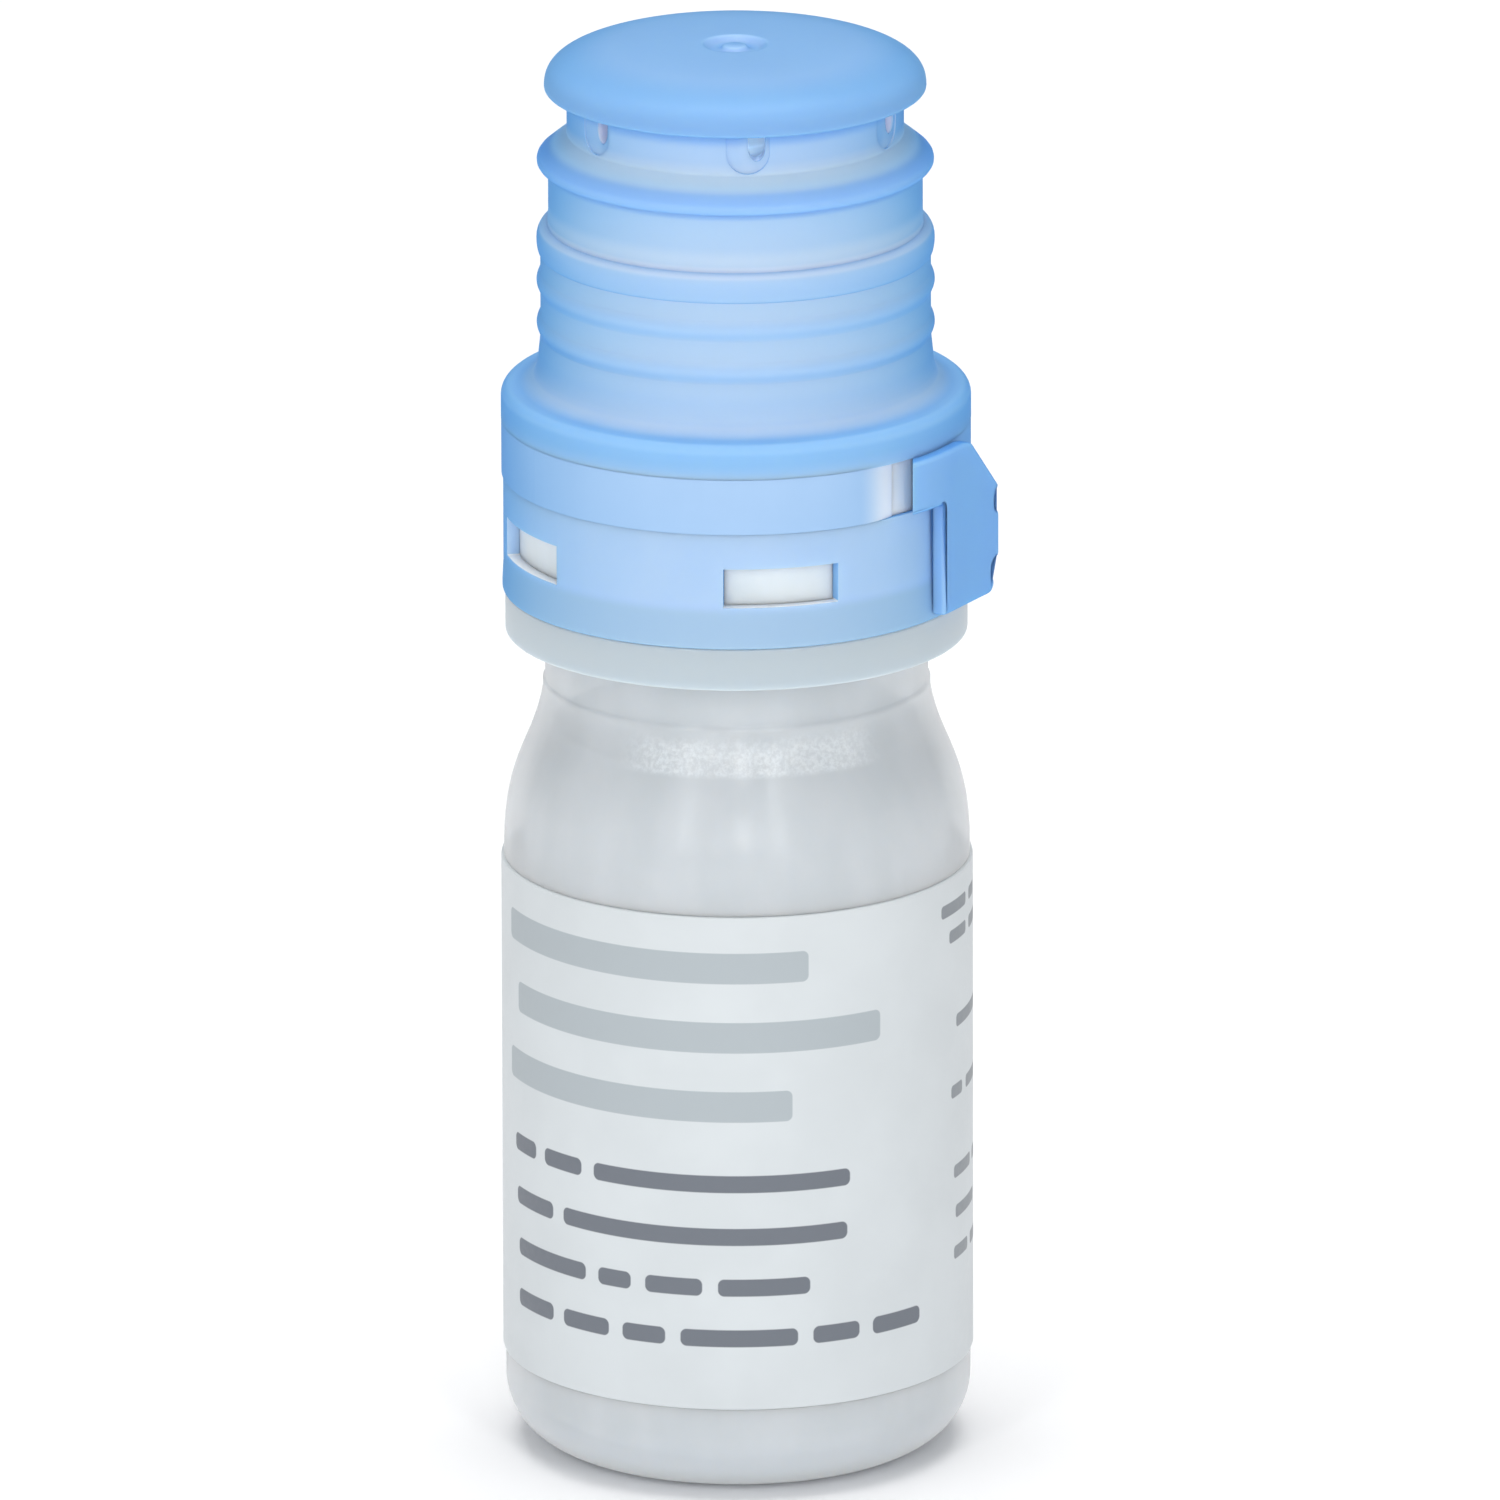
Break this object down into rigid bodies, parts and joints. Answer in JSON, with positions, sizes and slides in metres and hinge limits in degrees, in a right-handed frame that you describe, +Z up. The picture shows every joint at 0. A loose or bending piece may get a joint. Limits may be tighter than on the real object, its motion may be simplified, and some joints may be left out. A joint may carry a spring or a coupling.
{
  "type": "eye drop bottle",
  "caption": "Squeeze bottle with a push-on dropper head, a spring-loaded tip valve, a tear strip with a pull tab and a ribbed, vented pull-off cap.",
  "frame": {"origin": "centre of the flat face that the bottle stands on", "axes": "+Z up along the bottle's axis, -Y towards the front, +X towards the side with the pull tab"},
  "size_m": [0.0235, 0.0222, 0.0685],
  "materials": {
    "blue_plastic": "satin moulded polyethylene, slightly translucent",
    "white_plastic": "satin natural polyethylene",
    "bottle_plastic": "satin translucent polyethylene",
    "label_film": "smooth white label, unprinted apart from plain grey bars",
    "silicone": "soft translucent silicone",
    "membrane": "fine white filter membrane",
    "spring_steel": "drawn stainless wire"
  },
  "bodies": {
    "bottle_unit": {"bottle": "bottle_plastic", "label": "label_film", "dispenser_housing": "white_plastic", "neck_gasket": "silicone", "check_valve": "silicone", "flow_insert": "white_plastic", "return_spring": "spring_steel", "nozzle": "white_plastic", "vent_filter": "membrane", "filter_retainer": "white_plastic", "anchor_ring": "blue_plastic", "tear_strip_1": "blue_plastic"},
    "cap": {"cap": "blue_plastic"},
    "valve": {"valve_pin": "white_plastic", "tip_seal": "silicone"},
    "strip_link_2": {"tear_strip_2": "blue_plastic"},
    "strip_link_3": {"tear_strip_3": "blue_plastic"},
    "strip_link_4": {"tear_strip_4": "blue_plastic"},
    "strip_link_5": {"tear_strip_5": "blue_plastic"},
    "strip_link_6": {"tear_strip_6": "blue_plastic"},
    "strip_link_7": {"tear_strip_7": "blue_plastic"},
    "strip_link_8": {"tear_strip_8": "blue_plastic"},
    "strip_link_9": {"tear_strip_9": "blue_plastic"},
    "tab": {"pull_tab": "blue_plastic"}
  },
  "joints": [
    {"name": "cap_pull", "type": "slide", "parent": "bottle_unit", "child": "cap", "axis": [0, 0, 1], "range_m": [0, 0.024]},
    {"name": "valve_open", "type": "slide", "parent": "bottle_unit", "child": "valve", "axis": [0, 0, -1], "range_m": [0, 0.0005], "stiffness_N_per_m": 120, "deforming": ["return_spring"]},
    {"name": "strip_bend_2", "type": "hinge", "parent": "bottle_unit", "child": "strip_link_2", "pos_m": [-0.00007, -0.01066, 0.04872], "axis": [0, 0, 1], "range_deg": [0, 30]},
    {"name": "strip_bend_3", "type": "hinge", "parent": "strip_link_2", "child": "strip_link_3", "pos_m": [-0.00675, -0.00825, 0.04872], "axis": [0, 0, 1], "range_deg": [0, 30]},
    {"name": "strip_bend_4", "type": "hinge", "parent": "strip_link_3", "child": "strip_link_4", "pos_m": [-0.01043, -0.00219, 0.04872], "axis": [0, 0, 1], "range_deg": [0, 30]},
    {"name": "strip_bend_5", "type": "hinge", "parent": "strip_link_4", "child": "strip_link_5", "pos_m": [-0.00949, 0.00485, 0.04872], "axis": [0, 0, 1], "range_deg": [0, 30]},
    {"name": "strip_bend_6", "type": "hinge", "parent": "strip_link_5", "child": "strip_link_6", "pos_m": [-0.00435, 0.00973, 0.04872], "axis": [0, 0, 1], "range_deg": [0, 30]},
    {"name": "strip_bend_7", "type": "hinge", "parent": "strip_link_6", "child": "strip_link_7", "pos_m": [0.00273, 0.0103, 0.04872], "axis": [0, 0, 1], "range_deg": [0, 30]},
    {"name": "strip_bend_8", "type": "hinge", "parent": "strip_link_7", "child": "strip_link_8", "pos_m": [0.00859, 0.00631, 0.04872], "axis": [0, 0, 1], "range_deg": [0, 30]},
    {"name": "strip_peel", "type": "hinge", "parent": "strip_link_8", "child": "strip_link_9", "pos_m": [0.01065, -0.00049, 0.04872], "axis": [0, 0, 1], "range_deg": [0, 30]},
    {"name": "tab_lift", "type": "hinge", "parent": "strip_link_9", "child": "tab", "pos_m": [0.00896, -0.00748, 0.04872], "axis": [0, 0, -1], "range_deg": [0, 110]}
  ],
  "couplings": [
    {"joint": "strip_bend_2", "follows": "strip_peel", "ratio": 1},
    {"joint": "strip_bend_3", "follows": "strip_peel", "ratio": 1},
    {"joint": "strip_bend_4", "follows": "strip_peel", "ratio": 1},
    {"joint": "strip_bend_5", "follows": "strip_peel", "ratio": 1},
    {"joint": "strip_bend_6", "follows": "strip_peel", "ratio": 1},
    {"joint": "strip_bend_7", "follows": "strip_peel", "ratio": 1},
    {"joint": "strip_bend_8", "follows": "strip_peel", "ratio": 1}
  ]
}
